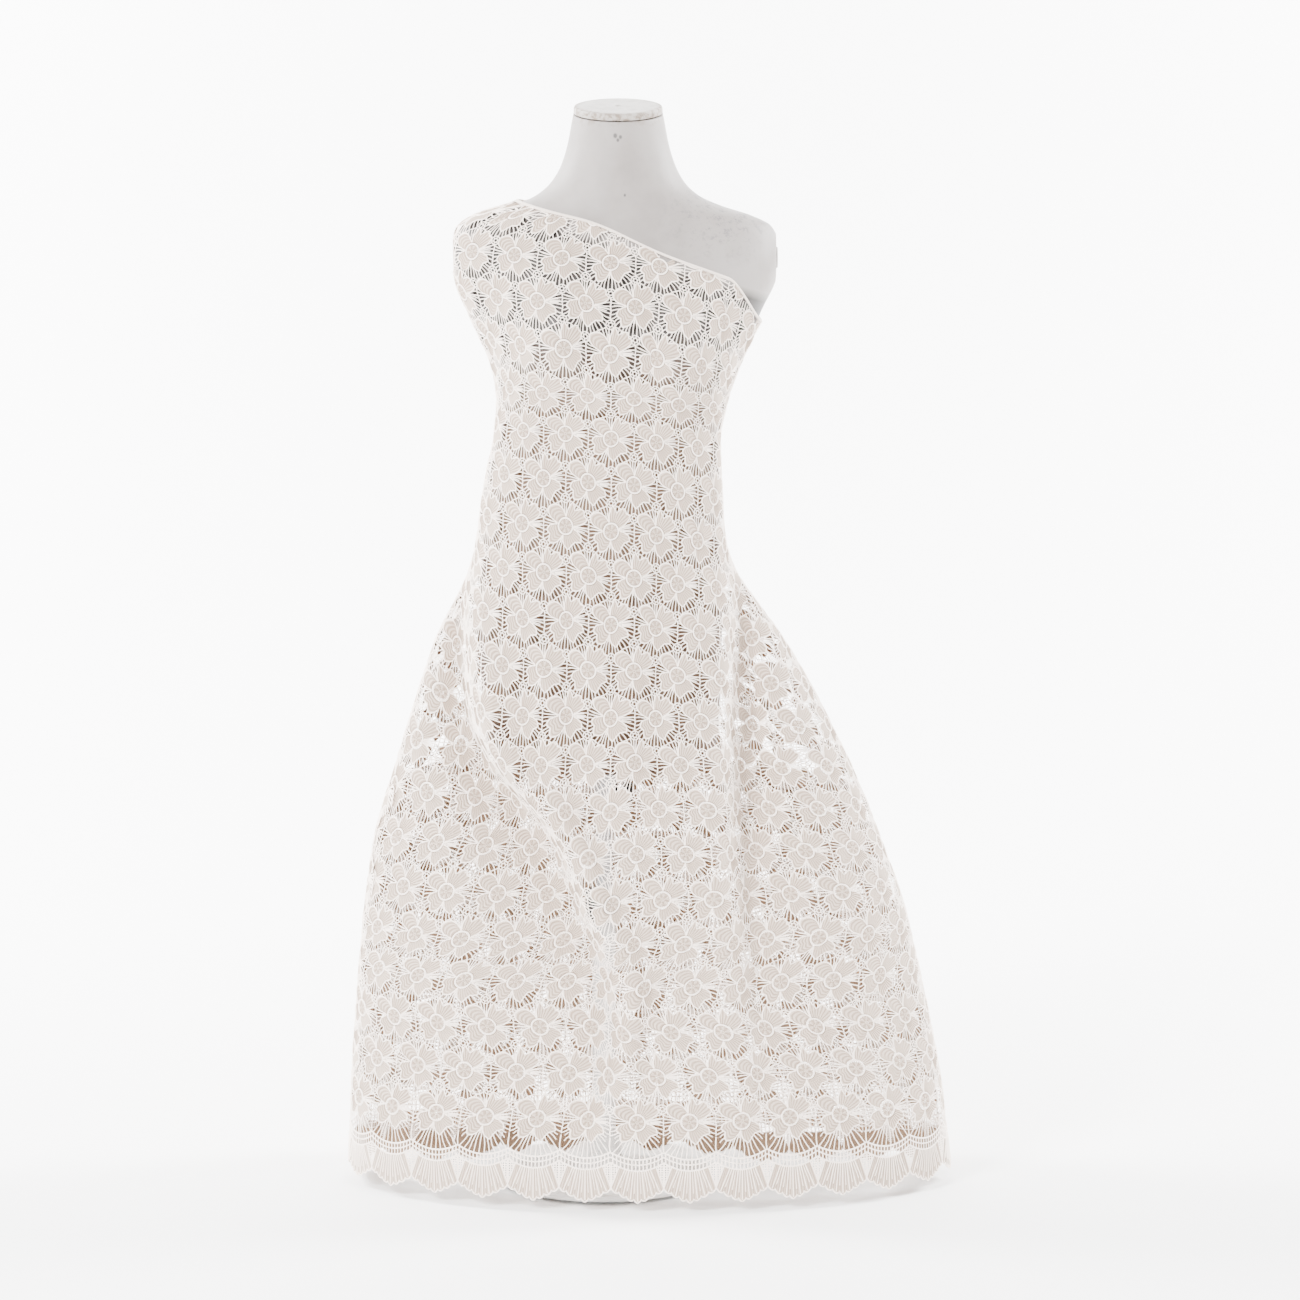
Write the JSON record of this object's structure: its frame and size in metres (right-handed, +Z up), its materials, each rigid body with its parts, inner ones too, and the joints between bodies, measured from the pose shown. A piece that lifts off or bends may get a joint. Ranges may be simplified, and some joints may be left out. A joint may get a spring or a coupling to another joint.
{
  "type": "lace length on display torso",
  "caption": "Scalloped floral guipure lace draped one-shouldered on a headless display torso that swivels and slides on a telescopic stand.",
  "frame": {"origin": "centre of the overall footprint, on the floor under the foot pads", "axes": "+Z up, the torso faces -Y, +X is the viewer's right seen from the front (the bare shoulder)"},
  "size_m": [0.7186, 0.3419, 1.2848],
  "materials": {
    "worn_white_paint": "satin",
    "stump_paint": "satin",
    "birch_board": "matte",
    "bright_steel": "satin",
    "cream_enamel": "satin",
    "clamp_black": "matte",
    "foot_rubber": "matte",
    "nylon": "matte",
    "cream_thread": "matte",
    "edge_thread": "matte",
    "pin_head": "polished"
  },
  "bodies": {
    "stand": {"base_plate": "cream_enamel", "base_bolt": "bright_steel", "base_washer": "bright_steel", "base_boss": "cream_enamel", "pole_lower": "cream_enamel", "guide_bush": "nylon", "height_collar": "clamp_black", "foot_pad_1": "foot_rubber", "foot_pad_2": "foot_rubber", "foot_pad_3": "foot_rubber", "foot_pad_4": "foot_rubber"},
    "pole": {"pole_upper": "bright_steel", "pole_plug": "nylon", "pole_shoe": "nylon"},
    "torso": {"torso_front_shell": "worn_white_paint", "torso_back_shell": "worn_white_paint", "neck_cap": "worn_white_paint", "neck_cap_bolt": "bright_steel", "neck_cap_nut": "bright_steel", "arm_plate_left": "stump_paint", "arm_plate_right": "stump_paint", "torso_base_board": "birch_board", "socket_flange": "bright_steel", "flange_screw_1": "bright_steel", "flange_screw_2": "bright_steel", "flange_screw_3": "bright_steel", "flange_screw_4": "bright_steel", "lace_fabric": "cream_thread", "lace_top_edge": "edge_thread", "pin_1": "pin_head", "pin_2": "pin_head", "pin_3": "pin_head", "pin_4": "pin_head"},
    "height_knob": {"collar_knob": "clamp_black"},
    "thumbscrew": {"socket_thumbscrew": "clamp_black"}
  },
  "joints": [
    {"name": "pole_height", "type": "slide", "parent": "stand", "child": "pole", "axis": [0, 0, 1], "range_m": [0, 0.26]},
    {"name": "torso_swivel", "type": "hinge", "parent": "pole", "child": "torso", "pos_m": [-0.055, 0, 0.48], "axis": [0, 0, 1], "continuous": true},
    {"name": "collar_knob_turn", "type": "hinge", "parent": "stand", "child": "height_knob", "pos_m": [-0.055, 0, 0.332], "axis": [0, 1, 0], "range_deg": [0, 360]},
    {"name": "thumbscrew_turn", "type": "hinge", "parent": "torso", "child": "thumbscrew", "pos_m": [-0.055, 0, 0.4687], "axis": [1, 0, 0], "range_deg": [0, 360]}
  ]
}
